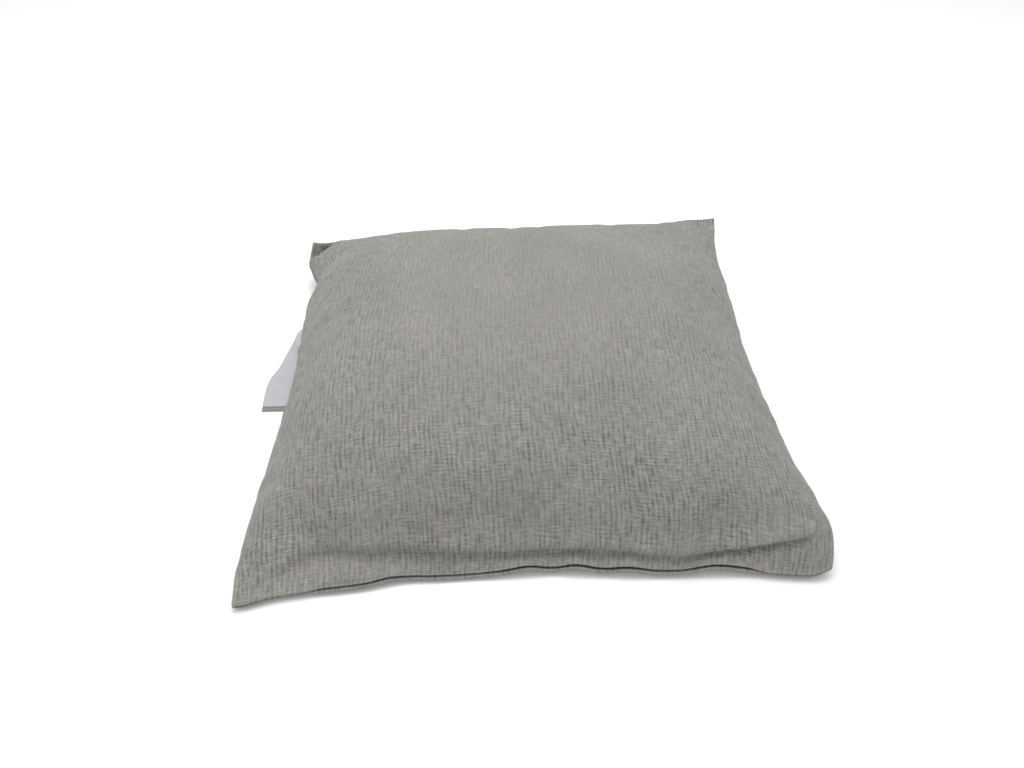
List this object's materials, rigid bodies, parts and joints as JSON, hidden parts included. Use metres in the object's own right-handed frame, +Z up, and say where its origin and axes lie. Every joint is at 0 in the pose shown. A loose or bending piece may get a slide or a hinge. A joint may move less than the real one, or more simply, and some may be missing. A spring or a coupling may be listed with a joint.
{
  "type": "floor cushion",
  "caption": "Square knife-edge floor cushion: woven cover with a concealed zip along one edge, a sewn-in care label and a loose fibre-filled insert.",
  "frame": {"origin": "middle of the flat underside, on the floor", "axes": "+X to the right along the zip edge, +Y from the zip edge to the opposite edge, +Z up"},
  "size_m": [0.625, 0.6, 0.156],
  "materials": {
    "woven_cover": "matte",
    "thread": "satin",
    "zip_tape": "matte",
    "zip_coil": "satin",
    "zip_metal": "satin",
    "label_white": "satin",
    "label_grey": "satin",
    "casing": "matte",
    "filling": "matte"
  },
  "bodies": {
    "cushion": {"cover_top_panel": "woven_cover", "cover_bottom_panel": "woven_cover", "seam_thread_left": "thread", "seam_thread_right": "thread", "seam_thread_back": "thread", "seam_thread_front_left": "thread", "seam_thread_front_right": "thread", "zip_tape_upper": "zip_tape", "zip_tape_lower": "zip_tape", "zip_stitch_upper": "thread", "zip_stitch_lower": "thread", "zip_coil_upper": "zip_coil", "zip_coil_lower": "zip_coil", "zip_top_stop_upper": "zip_metal", "zip_top_stop_lower": "zip_metal", "zip_bottom_stop": "zip_metal", "care_label_front_leaf": "label_white", "care_label_back_leaf": "label_grey", "insert_casing_top": "casing", "insert_casing_bottom": "casing", "insert_seam_thread": "thread", "insert_filling": "filling"},
    "slider": {"zip_slider": "zip_metal"},
    "pull": {"zip_pull": "zip_metal"}
  },
  "joints": [
    {"name": "zip_slide", "type": "slide", "parent": "cushion", "child": "slider", "axis": [-1, 0, 0], "range_m": [0, 0.4]},
    {"name": "pull_hinge", "type": "hinge", "parent": "slider", "child": "pull", "pos_m": [0.204, -0.2756, 0.009], "axis": [0, 0, 1], "range_deg": [0, 180]}
  ]
}
